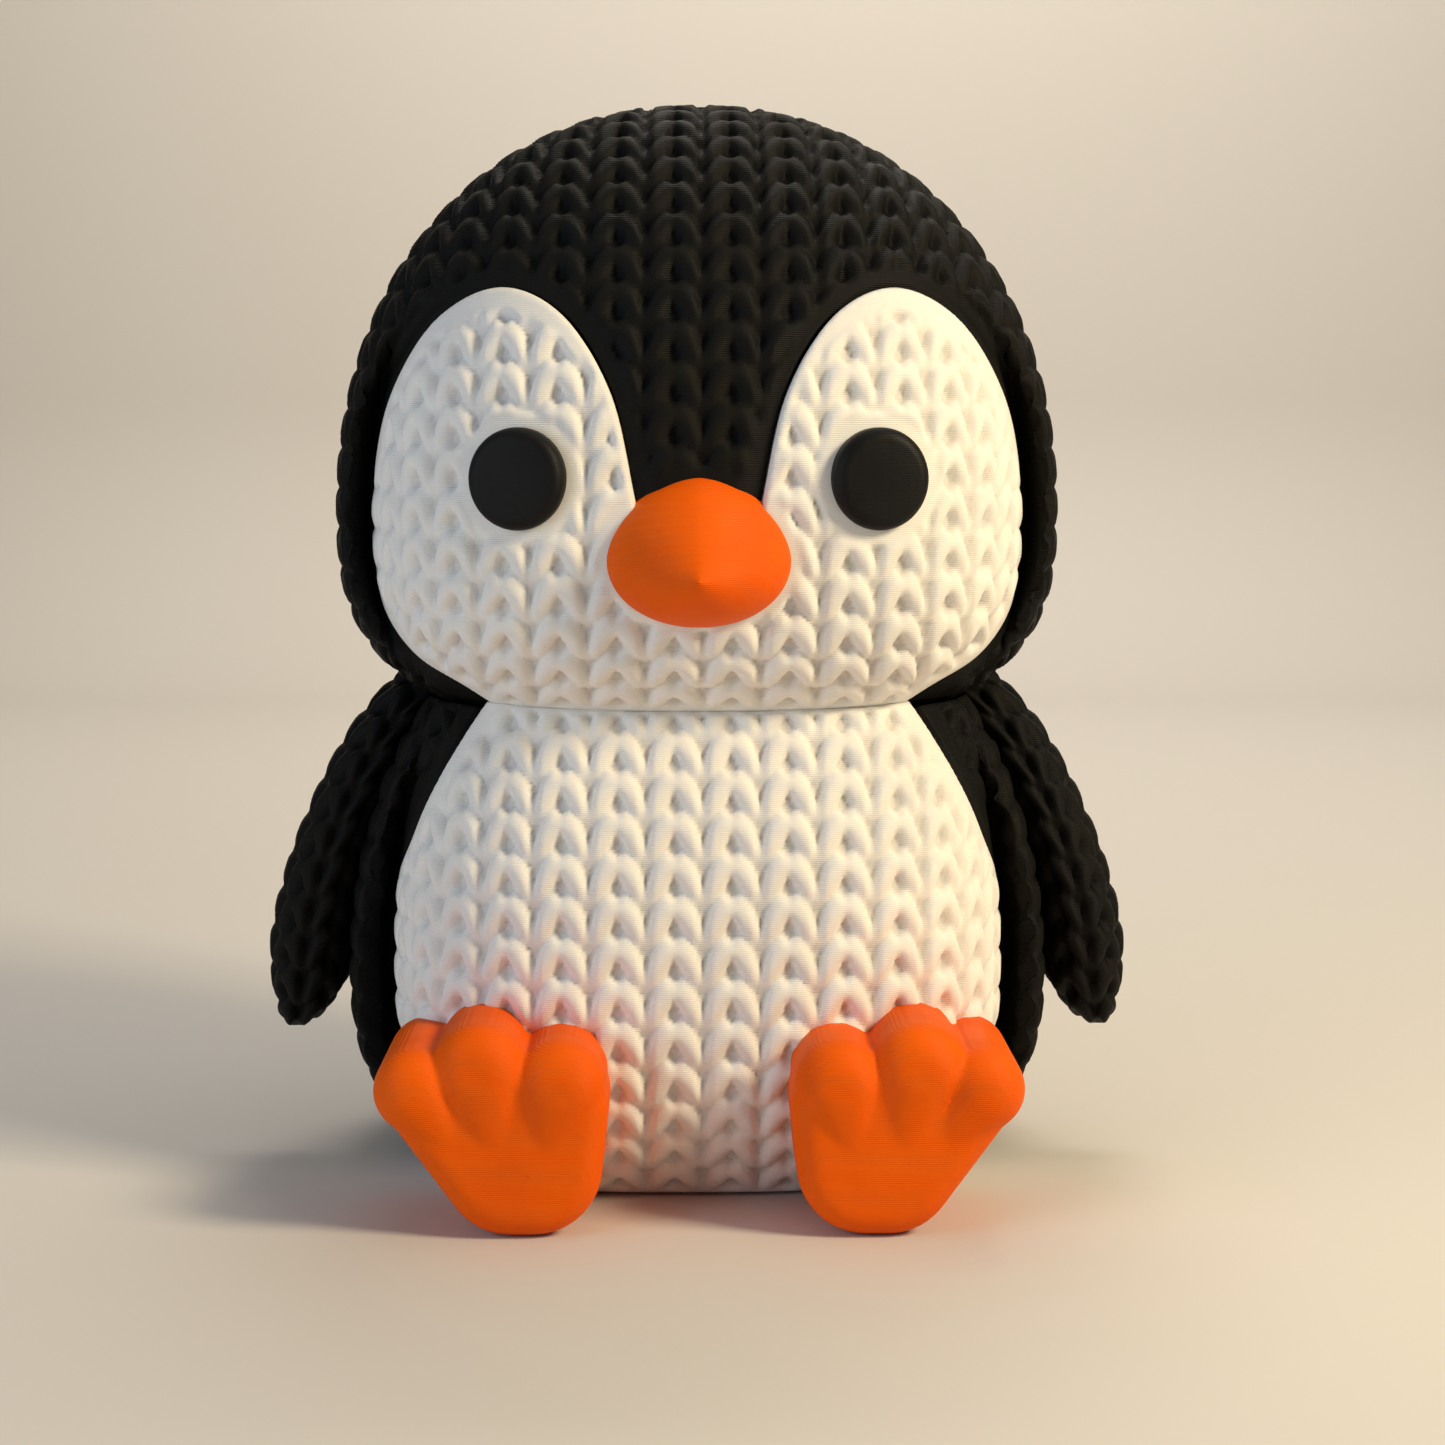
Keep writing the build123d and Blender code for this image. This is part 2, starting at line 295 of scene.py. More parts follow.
@dataclass
class Skin:
    """A sheet of surface in bare numbers: a row of values for each corner, and the faces.

    The values are x, y, z, the outward direction, column, row and calm.
    """

    values: np.ndarray
    quads: np.ndarray

    @property
    def points(self) -> np.ndarray:
        """Where the corners are."""
        return self.values[:, 0:3]

    def snap(self, field: np.ndarray) -> np.ndarray:
        """Slide the corners nearest to the line field = 0 onto it.

        Args:
            field: A value for each corner, negative on one side of the line.

        Returns:
            The field, with zeros where corners were moved.
        """
        pairs = np.concatenate([self.quads[:, [i, (i + 1) % 4]] for i in range(4)])
        pairs = np.unique(np.sort(pairs, axis=1), axis=0)
        a, b = pairs[:, 0], pairs[:, 1]
        cross = field[a] * field[b] < 0
        a, b = a[cross], b[cross]
        share = field[a] / (field[a] - field[b])
        mover = np.where(share <= 0.5, a, b)
        other = np.where(share <= 0.5, b, a)
        shift = np.where(share <= 0.5, share, 1 - share)
        order = np.argsort(-shift)
        mover, other, shift = mover[order], other[order], shift[order]
        old = self.values.copy()
        self.values[mover] = old[mover] + (old[other] - old[mover]) * shift[:, None]
        field = field.copy()
        field[mover] = 0.0
        return field

    def faces(self, field: np.ndarray, keep_all: bool = False) -> list[list[int]]:
        """The faces on the negative side of a snapped field, split along the line where they need it.

        Args:
            field: The snapped field.
            keep_all: Keep the faces on both sides of the line.

        Returns:
            Lists of corner numbers.
        """
        sign = np.sign(field[self.quads])
        made = []
        for start in (0, 1):
            on_line = (sign[:, start] == 0) & (sign[:, start + 2] == 0)
            split = on_line & (sign[:, 1 - start] * sign[:, 3 - start] < 0)
            for quad, signs in zip(self.quads[split], sign[split]):
                for tip in (start + 1, start + 3):
                    if keep_all or signs[tip % 4] < 0:
                        made.append([int(quad[(tip - 1) % 4]), int(quad[tip % 4]), int(quad[(tip + 1) % 4])])
            sign[split] = 9
        whole = (sign.max(axis=1) <= 0) & (sign.min(axis=1) < 0)
        if keep_all:
            whole = sign.max(axis=1) < 9
        return made + self.quads[whole].tolist()


@dataclass(frozen=True)
class Egg:
    """A round body whose level rings all share one plan.

    wide and deep are half sizes at the waist, rise and drop are the heights above and below it, and
    crown, chin and square are the powers of the outline above, below and in plan.
    """

    wide: float
    deep: float
    waist: float
    rise: float
    drop: float
    crown: float
    chin: float
    square: float

    def share(self, height: np.ndarray) -> np.ndarray:
        """Share of the full width that is left at a height.

        Args:
            height: Heights up the figure.

        Returns:
            A share for each height.
        """
        above = np.clip((height - self.waist) / self.rise, 0, 1)
        below = np.clip((self.waist - height) / self.drop, 0, 1)
        top = (1 - above**self.crown) ** (1 / self.crown)
        return np.where(height > self.waist, top, (1 - below**self.chin) ** (1 / self.chin))

    def plan(self) -> tuple[np.ndarray, np.ndarray, np.ndarray]:
        """The right half of the waist ring, from the front round to the back.

        Returns:
            Arc length, x and y at close spacing.
        """
        turn = np.linspace(0, math.pi, 4001)
        x = self.wide * np.abs(np.sin(turn)) ** (2 / self.square)
        y = -self.deep * np.sign(np.cos(turn)) * np.abs(np.cos(turn)) ** (2 / self.square)
        run = np.concatenate([[0], np.cumsum(np.hypot(np.diff(x), np.diff(y)))])
        return run, x, y

    def profile(self, low: float, high: float) -> tuple[np.ndarray, np.ndarray]:
        """Length up the front of the body between two heights.

        Args:
            low: Lowest height.
            high: Highest height.

        Returns:
            Arc length from the waist, and height, at close spacing.
        """
        ease = (1 - np.cos(np.linspace(0, math.pi, 6001))) / 2
        z = low + (high - low) * ease
        reach = self.deep * self.share(z)
        run = np.concatenate([[0], np.cumsum(np.hypot(np.diff(z), np.diff(reach)))])
        return run - np.interp(self.waist, z, run), z

    def under(self, x: np.ndarray, y: np.ndarray) -> np.ndarray:
        """The body's underside over a place in plan.

        Args:
            x: Places across.
            y: Places from front to back.

        Returns:
            Its height, or a great height where the body has no underside.
        """
        spread = np.abs(x / self.wide) ** self.square + np.abs(y / self.deep) ** self.square
        spread = spread ** (1 / self.square)
        step = (1 - np.clip(spread, 0, 1) ** self.chin) ** (1 / self.chin)
        return np.where(spread < 1, self.waist - self.drop * step, FAR)

    def outside(self, points: np.ndarray) -> np.ndarray:
        """Rough distance outside the body.

        Args:
            points: Places as x, y and z.

        Returns:
            A distance for each place, negative inside the body.
        """
        x, y, z = points.T
        share = np.maximum(self.share(z), 1e-3)
        spread = np.abs(x / self.wide) ** self.square + np.abs(y / self.deep) ** self.square
        return (spread ** (1 / self.square) - share) * self.wide

    def grow(self, more: float) -> "Egg":
        """The same body with its sizes grown by an even allowance."""
        return Egg(self.wide + more, self.deep + more, self.waist, self.rise + more, self.drop + more,
                   self.crown, self.chin, self.square)

    def skin(self, low: float, high: float, rows: tuple[float, float], turns: tuple[float, float],
             phase: tuple[float, float], reach: float = 1.0) -> Skin:
        """A grid over the body between two heights.

        Args:
            low: Lowest height.
            high: Highest height.
            rows: Spacing up the body, and the height below which it is coarse.
            turns: Spacing round the front half, and round the back half.
            phase: Shift of the columns in millimetres, and of the rows in stitches.
            reach: Share of the way round from the front to the back that the grid covers.

        Returns:
            The grid as a skin, closed behind if it goes all the way round.
        """
        length, height = self.profile(low, high)
        switch = float(np.interp(rows[1], height, length))
        up = steps(length[0], length[-1], rows[0], switch)
        z = np.interp(up, length, height)
        run, plan_x, plan_y = self.plan()
        middle = run[-1] / 2
        half = np.concatenate([
            steps(0, min(middle, reach * run[-1]), turns[0]),
            steps(middle, run[-1] * reach, turns[1])[1:] if reach > 0.5 else np.zeros(0),
        ])
        around = np.concatenate([-half[:0:-1], half])
        closed = reach >= 1.0
        if closed:
            around = around[1:]
        share = self.share(z)[:, None]
        x = np.sign(around) * np.interp(np.abs(around), run, plan_x) * share
        y = np.interp(np.abs(around), run, plan_y) * share
        level = np.broadcast_to(z[:, None], x.shape)
        grid = np.stack([x, y, level], axis=-1)
        side = np.roll(grid, -1, 1) - np.roll(grid, 1, 1)
        if not closed:
            side = np.gradient(grid, axis=1)
        climb = np.gradient(grid, axis=0)
        out = np.cross(side, climb)
        out /= np.maximum(np.linalg.norm(out, axis=-1, keepdims=True), 1e-9)
        column = (around[None, :] * share + phase[0]) / COLUMN_PITCH
        row = np.broadcast_to((up / ROW_HEIGHT + phase[1])[:, None], x.shape)
        calm = np.zeros(x.shape)
        stacked = [grid, out, column[..., None], row[..., None], calm[..., None]]
        values = np.concatenate(stacked, axis=-1).reshape(-1, 9)
        return Skin(values, grid_quads(len(z), len(around), closed))


def grid_quads(rows: int, columns: int, closed: bool) -> np.ndarray:
    """Faces of a grid of corners, facing outwards where columns run anticlockwise from above.

    Args:
        rows: Rows of corners.
        columns: Corners in a row.
        closed: Join the last column to the first.

    Returns:
        Four corner numbers for each face.
    """
    number = np.arange(rows * columns).reshape(rows, columns)
    here = number if closed else number[:, :-1]
    right = np.roll(number, -1, 1) if closed else number[:, 1:]
    quads = np.stack([here[:-1], right[:-1], right[1:], here[1:]], axis=-1)
    return quads.reshape(-1, 4)


@dataclass(frozen=True)
class Outline:
    """The edge of a white panel in front view: its right half, mirrored about the middle."""

    side: tuple[tuple[float, float], ...]

    def line(self) -> np.ndarray:
        """The edge as short straight runs, closed to the middle at both ends.

        Returns:
            Points as x and z.
        """
        knots = np.array(self.side)
        padded = np.vstack([2 * knots[0] - knots[1], knots, 2 * knots[-1] - knots[-2]])
        return np.vstack([(0.0, knots[0][1]), curve_through(padded, 10), (0.0, knots[-1][1])])

    def beyond(self, points: np.ndarray) -> np.ndarray:
        """Distance outside the edge in front view, negative inside it.

        Args:
            points: Places as x, y and z.

        Returns:
            A distance for each place.
        """
        line = self.line()
        start, run = line[:-1], np.diff(line, axis=0)
        square = np.maximum((run**2).sum(1), 1e-12)
        result = np.empty(len(points))
        for first in range(0, len(points), 20000):
            place = np.stack([np.abs(points[first:first + 20000, 0]), points[first:first + 20000, 2]], axis=1)
            gap = place[:, None, :] - start[None]
            share = np.clip((gap * run).sum(2) / square, 0, 1)
            near = np.linalg.norm(gap - share[..., None] * run, axis=2).min(1)
            over = (start[:, 1] > place[:, 1:]) != (start[:, 1] + run[:, 1] > place[:, 1:])
            rise = np.where(np.abs(run[:, 1]) < 1e-9, 1e-9, run[:, 1])
            hit = start[:, 0] + (place[:, 1:] - start[:, 1]) / rise * run[:, 0]
            inside = ((over & (place[:, :1] < hit)).sum(1) % 2) == 1
            result[first:first + 20000] = np.where(inside, -near, near)
        return result


# --- The knitted skin -------------------------------------------------------------------------------
@dataclass(frozen=True)
class Knit:
    """The moulded stitches: columns of slanting legs that meet in a V, with hollows between them."""

    relief: float = 1.0
    slant: float = 0.7
    foot: float = 0.36
    tip: float = 0.3
    middle: float = 0.62
    middle_groove: float = 0.5
    side_groove: float = 0.05
    calm_level: float = 0.75
    name: str = "knitted_stitches"

    def inputs(self) -> dict[str, float]:
        """The stitch tree's sizes.

        Returns:
            Each input's name and value.
        """
        return {
            "Relief": self.relief * MM,
            "Slant": self.slant,
            "Foot": self.foot,
            "Tip": self.tip,
            "Middle": self.middle,
            "Middle groove": self.middle_groove,
            "Side groove": self.side_groove,
            "Calm level": self.calm_level,
        }

    def tree(self) -> bpy.types.NodeTree:
        """Build the stitch tree once, with a named input for each size.

        Returns:
            The Geometry Nodes tree.
        """
        if self.name in bpy.data.node_groups:
            return bpy.data.node_groups[self.name]
        tree = bpy.data.node_groups.new(self.name, "GeometryNodeTree")
        face = tree.interface
        face.new_socket("Geometry", in_out="INPUT", socket_type="NodeSocketGeometry")
        for label in self.inputs():
            face.new_socket(label, in_out="INPUT", socket_type="NodeSocketFloat")
        face.new_socket("Finish", in_out="INPUT", socket_type="NodeSocketMaterial")
        face.new_socket("Geometry", in_out="OUTPUT", socket_type="NodeSocketGeometry")
        sizes = tree.nodes.new("NodeGroupInput").outputs
        hollow = self._hollow(tree, sizes)
        calm = self._attribute(tree, "calm")
        rest = self._sum(tree, "SUBTRACT", 1.0, sizes["Calm level"])
        blend = tree.nodes.new("ShaderNodeMix")
        for socket, value in zip((blend.inputs[0], blend.inputs[2], blend.inputs[3]), (calm, hollow, rest)):
            tree.links.new(value, socket)
        depth = blend.outputs[0]
        sink = self._sum(tree, "MULTIPLY", self._sum(tree, "MULTIPLY", depth, sizes["Relief"]), -1.0)
        push = tree.nodes.new("ShaderNodeVectorMath")
        push.operation = "SCALE"
        tree.links.new(self._attribute(tree, "out", "FLOAT_VECTOR"), push.inputs[0])
        tree.links.new(sink, push.inputs["Scale"])
        move = tree.nodes.new("GeometryNodeSetPosition")
        tree.links.new(sizes["Geometry"], move.inputs["Geometry"])
        tree.links.new(push.outputs[0], move.inputs["Offset"])
        # The depth is kept as the hollow attribute, which the finish uses to paint shade into the hollows.
        keep = tree.nodes.new("GeometryNodeStoreNamedAttribute")
        keep.inputs["Name"].default_value = "hollow"
        tree.links.new(move.outputs[0], keep.inputs["Geometry"])
        tree.links.new(depth, [s for s in keep.inputs if s.name == "Value" and s.enabled][0])
        real = tree.nodes.new("GeometryNodeRealizeInstances")
        tree.links.new(keep.outputs[0], real.inputs[0])
        paint = tree.nodes.new("GeometryNodeSetMaterial")
        tree.links.new(real.outputs[0], paint.inputs["Geometry"])
        tree.links.new(sizes["Finish"], paint.inputs["Material"])
        tree.links.new(paint.outputs[0], tree.nodes.new("NodeGroupOutput").inputs[0])
        return tree

    def _attribute(self, tree: bpy.types.NodeTree, name: str, kind: str = "FLOAT") -> bpy.types.NodeSocket:
        """A reading of one of the skin's values.

        Args:
            tree: The stitch tree.
            name: The attribute's name.
            kind: Its data type.

        Returns:
            The value at each corner.
        """
        node = tree.nodes.new("GeometryNodeInputNamedAttribute")
        node.data_type = kind
        node.inputs["Name"].default_value = name
        return [s for s in node.outputs if s.name == "Attribute" and s.enabled][0]

    def _sum(self, tree: bpy.types.NodeTree, operation: str, *values: object) -> bpy.types.NodeSocket:
        """One step of arithmetic on numbers or sockets.

        Args:
            tree: The stitch tree.
            operation: The kind of step.
            values: Its inputs in order.

        Returns:
            The result.
        """
        node = tree.nodes.new("ShaderNodeMath")
        node.operation = operation
        for socket, value in zip(node.inputs, values):
            if isinstance(value, float):
                socket.default_value = value
            else:
                tree.links.new(value, socket)
        return node.outputs[0]

    def _ease(self, tree: bpy.types.NodeTree, value: bpy.types.NodeSocket, span: tuple[float, float],
              low: object, high: object) -> bpy.types.NodeSocket:
        """A smooth run from one size to another along the leg.

        Args:
            tree: The stitch tree.
            value: The place along the leg.
            span: Where the run starts and ends.
            low: The size at its start.
            high: The size at its end.

        Returns:
            The size.
        """
        node = tree.nodes.new("ShaderNodeMapRange")
        node.interpolation_type = "SMOOTHSTEP"
        node.inputs["From Min"].default_value = span[0]
        node.inputs["From Max"].default_value = span[1]
        tree.links.new(value, node.inputs["Value"])
        for name, size in (("To Min", low), ("To Max", high)):
            if isinstance(size, float):
                node.inputs[name].default_value = size
            else:
                tree.links.new(size, node.inputs[name])
        return node.outputs["Result"]

    def _hollow(self, tree: bpy.types.NodeTree, sizes: object) -> bpy.types.NodeSocket:
        """How far below the crests the surface lies, from 0 to 1.

        Args:
            tree: The stitch tree.
            sizes: The tree's inputs.

        Returns:
            The depth as a share of the relief.
        """
        column = self._attribute(tree, "column")
        offset = self._sum(tree, "SUBTRACT", column, self._sum(tree, "ROUND", column))
        along = self._sum(tree, "MULTIPLY", self._sum(tree, "ABSOLUTE", offset), 2.0)
        square = self._sum(tree, "POWER", along, 2.0)
        bend = self._sum(tree, "SUBTRACT", 1.5, self._sum(tree, "MULTIPLY", square, 0.5))
        climb = self._sum(tree, "MULTIPLY", self._sum(tree, "MULTIPLY", along, bend), sizes["Slant"])
        level = self._sum(tree, "SUBTRACT", self._attribute(tree, "row"), climb)
        across = self._sum(tree, "SUBTRACT", level, self._sum(tree, "ROUND", level))
        near_foot = self._ease(tree, along, (0.0, 0.4), sizes["Foot"], sizes["Middle"])
        near_tip = self._ease(tree, along, (0.6, 1.0), sizes["Middle"], sizes["Tip"])
        width = self._sum(tree, "MINIMUM", near_foot, near_tip)
        aside = self._sum(tree, "ABSOLUTE", self._sum(tree, "DIVIDE", across, width))
        place = self._sum(tree, "POWER", aside, 2.0)
        bulge = self._sum(tree, "MAXIMUM", self._sum(tree, "SUBTRACT", 1.0, place), 0.0)
        tube = self._sum(tree, "POWER", bulge, 0.85)
        low_foot = self._sum(tree, "SUBTRACT", 1.0, sizes["Middle groove"])
        low_tip = self._sum(tree, "SUBTRACT", 1.0, sizes["Side groove"])
        foot = self._ease(tree, along, (0.0, 0.34), low_foot, 1.0)
        tip = self._ease(tree, along, (0.82, 1.0), 1.0, low_tip)
        height = self._sum(tree, "MULTIPLY", tube, self._sum(tree, "MULTIPLY", foot, tip))
        return self._sum(tree, "SUBTRACT", 1.0, height)

    def work(self, piece: bpy.types.Object, finish: bpy.types.Material) -> None:
        """Press the stitches into a piece and leave it a plain mesh.

        Args:
            piece: The piece, with its skin's values as attributes.
            finish: The material it gets.
        """
        tree = self.tree()
        modifier = piece.modifiers.new("stitches", "NODES")
        modifier.node_group = tree
        keys = {s.name: s.identifier for s in tree.interface.items_tree if s.in_out == "INPUT"}
        for label, value in self.inputs().items():
            modifier[keys[label]] = value
        modifier[keys["Finish"]] = finish
        make_plain(piece)
        for name in ("out", "column", "row", "calm"):
            piece.data.attributes.remove(piece.data.attributes[name])


# --- Mesh tools -------------------------------------------------------------------------------------
def make_plain(piece: bpy.types.Object) -> None:
    """Take a piece's modifiers into its mesh, and drop them.

    Args:
        piece: The piece to change.
    """
    bpy.context.view_layer.update()
    ready = piece.evaluated_get(bpy.context.evaluated_depsgraph_get())
    mesh = bpy.data.meshes.new_from_object(ready)
    piece.modifiers.clear()
    piece.data = mesh


def make_piece(name: str, points: np.ndarray, faces: list) -> bpy.types.Object:
    """A smooth-shaded object at the origin from points in millimetres.

    Args:
        name: The piece's name.
        points: Corner places.
        faces: Corner numbers of each face.

    Returns:
        The new object.
    """
    mesh = bpy.data.meshes.new(name)
    mesh.from_pydata((np.asarray(points) * MM).tolist(), [], faces)
    mesh.validate()
    mesh.shade_smooth()
    piece = bpy.data.objects.new(name, mesh)
    bpy.context.scene.collection.objects.link(piece)
    return piece


def carry_values(piece: bpy.types.Object, values: np.ndarray, lift: np.ndarray) -> None:
    """Give a piece its skin's values as attributes for the stitch tree.

    Args:
        piece: The piece.
        values: The skin's values.
        lift: Share of the relief that each corner takes.
    """
    mesh = piece.data
    out = mesh.attributes.new("out", "FLOAT_VECTOR", "POINT")
    out.data.foreach_set("vector", (values[:, 3:6] * lift[:, None]).astype(np.float32).ravel())
    for name, index in (("column", 6), ("row", 7), ("calm", 8)):
        kept = mesh.attributes.new(name, "FLOAT", "POINT")
        kept.data.foreach_set("value", values[:, index].astype(np.float32))


def close_poles(points: np.ndarray, columns: int) -> tuple[np.ndarray, list]:
    """Close the first and last ring of a grid with a fan to its middle.

    Args:
        points: The grid's corners.
        columns: Corners in a ring.

    Returns:
        The two corners to add, and the faces.
    """
    count = len(points)
    start = count - columns
    faces = [[(i + 1) % columns, i, count] for i in range(columns)]
    faces += [[start + i, start + (i + 1) % columns, count + 1] for i in range(columns)]
    return np.array([points[:columns].mean(0), points[start:].mean(0)]), faces


def mirror_mesh(piece: bpy.types.Object) -> None:
    """Turn a piece over to the other side of the figure.

    Args:
        piece: The left piece, which becomes the right one.
    """
    mesh = piece.data
    places = np.empty(len(mesh.vertices) * 3, np.float32)
    mesh.vertices.foreach_get("co", places)
    places[0::3] *= -1
    mesh.vertices.foreach_set("co", places)
    mesh.flip_normals()
    mesh.update()


def settle(piece: bpy.types.Object, finish: PrintedPlastic, *nodes: str) -> None:
    """Dress a piece, set it on the figure and let it stand for its CAD nodes.

    Args:
        piece: The finished piece.
        finish: Its filament.
        nodes: The nodes that it stands for.
    """
    piece.data.materials.clear()
    piece.data.materials.append(finish.material())
    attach(piece, "root")
    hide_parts(*nodes)
    log.info("%s: %d faces", piece.name, len(piece.data.polygons))


# --- The figure's own shapes ------------------------------------------------------------------------
HEAD_EGG = Egg(37.3, 34.0, 67.0, 41.8, 22.9, 2.12, 2.8, 2.45)
FACE_EGG = Egg(33.3, 33.9, 67.0, 41.0, 22.5, 2.15, 3.0, 2.95)
BODY_EGG = Egg(36.5, 31.0, 19.0, 43.0, 27.3, 2.2, 2.2, 2.6)
BELLY_EGG = Egg(31.5, 30.9, 20.0, 42.0, 28.3, 2.5, 2.2, 3.2)
FACE_EDGE = Outline((
    (4.9, 63.0), (6.1, 69.0), (8.4, 79.0), (12.9, 86.3), (19.0, 89.1), (25.5, 86.3), (30.5, 79.3),
    (32.8, 72.0), (33.1, 65.0), (31.6, 59.0), (27.7, 53.9), (22.5, 50.0), (15.0, 43.5),
))
BELLY_EDGE = Outline((
    (15.5, 56.0), (22.2, 47.5), (27.9, 37.6), (31.1, 27.6), (31.7, 20.0), (30.5, 9.0), (27.0, -1.0),
))
FACE_BACK = -9.0
BELLY_BACK = -7.0
UNDER_HEAD = 40.0
STITCHES = Knit()
BEAK_OUTLINE = (8.9, 8.0, 6.5)
BEAK_HEIGHT = 63.4


def beak_ring(points: np.ndarray) -> np.ndarray:
    """How much of a plain ring round the beak each point lies in, from 0 to 1.

    Args:
        points: Places on the head.

    Returns:
        One number for each point.
    """
    wide, up, down = BEAK_OUTLINE
    rise = points[:, 2] - BEAK_HEIGHT
    away = (np.hypot(points[:, 0] / wide, rise / np.where(rise > 0, up, down)) - 1) * up
    return np.where(points[:, 1] < 0, 1 - smooth(away, 0.3, 1.1), 0.0)


@dataclass
class RoundShell:
    """A closed black body with a sunk place for its white panel."""

    node: str
    egg: Egg
    edge: Outline
    back: float
    low: float
    high: float
    rows: tuple[float, float]
    turns: tuple[float, float]
    phase: tuple[float, float]
    band: float
    sink: float
    filled: Egg
    ledge: float

    def build(self) -> bpy.types.Object:
        """Make the shell with its stitches.

        Returns:
            The finished piece.
        """
        skin = self.egg.skin(self.low, self.high, self.rows, self.turns, self.phase)
        columns = int(skin.quads[0][3])
        window = np.maximum(self.edge.beyond(skin.points) - SEAM, skin.points[:, 1] - self.back)
        field = skin.snap(window)
        near = self.edge.beyond(skin.points) - SEAM
        near = np.where(skin.points[:, 1] < self.back + 4, near, FAR)
        skin.values[:, 8] = np.maximum(1 - smooth(near, self.band, self.band + 0.7), beak_ring(skin.points))
        inside = field < 0
        lift = np.where(inside, 0.0, 1.0)
        self.step_back(skin, inside)
        self.carve(skin, inside)
        faces = skin.faces(field, keep_all=True)
        added, fans = close_poles(skin.points, columns)
        values = np.vstack([skin.values, np.zeros((len(added), 9))])
        values[len(skin.values):, 0:3] = added
        lift = np.concatenate([lift, np.zeros(len(added))])
        piece = make_piece(self.node + "_shell", values[:, 0:3], faces + fans)
        carry_values(piece, values, lift)
        STITCHES.work(piece, BLACK_PRINT.material())
        return piece

    def step_back(self, skin: Skin, inside: np.ndarray) -> None:
        """Set the black back beside the panel, so that the panel's rounded side stands proud of it.

        Args:
            skin: The shell's skin.
            inside: Which corners lie under the panel.
        """
        x, y, z = skin.points.T
        share = np.maximum(self.filled.share(z), 1e-3)
        spread = np.clip(np.abs(x / self.filled.wide / share), 0, 1) ** self.filled.square
        panel = -self.filled.deep * share * (1 - spread) ** (1 / self.filled.square)
        far = smooth(self.edge.beyond(skin.points), SEAM, self.ledge)
        target = np.minimum(panel, self.back) + 0.8
        moved = np.maximum(y, target + (y - target) * far)
        chosen = ~inside & (y < self.back) & (far < 1)
        skin.values[chosen, 1] = moved[chosen]

    def carve(self, skin: Skin, inside: np.ndarray) -> None:
        """Sink the place that the panel fills.

        Args:
            skin: The shell's skin.
            inside: Which corners lie under the panel.
        """
        middle = np.array([0.0, 0.0, self.egg.waist])
        skin.values[inside, 0:3] = middle + (skin.values[inside, 0:3] - middle) * self.sink

    def dress(self, piece: bpy.types.Object) -> None:
        """Give the shell its filament and its place."""
        settle(piece, BLACK_PRINT, self.node)


@dataclass
class Hood(RoundShell):
    """The penguin's black head."""


@dataclass
class Trunk(RoundShell):
    """The penguin's black body, dished on top to take the head and flat underneath."""

    def carve(self, skin: Skin, inside: np.ndarray) -> None:
        """Sink the belly's place, dish the top and leave the foot flat.

        Args:
            skin: The shell's skin.
            inside: Which corners lie under the panel.
        """
        skin.values[inside, 0:2] *= self.sink
        places = skin.points
        top = HEAD_EGG.grow(0.1).under(places[:, 0], places[:, 1])
        covered = (places[:, 2] > top) & (places[:, 2] > UNDER_HEAD)
        skin.values[covered, 2] = top[covered]
        skin.values[covered, 8] = 1.0
        skin.values[covered, 3:6] = 0.0


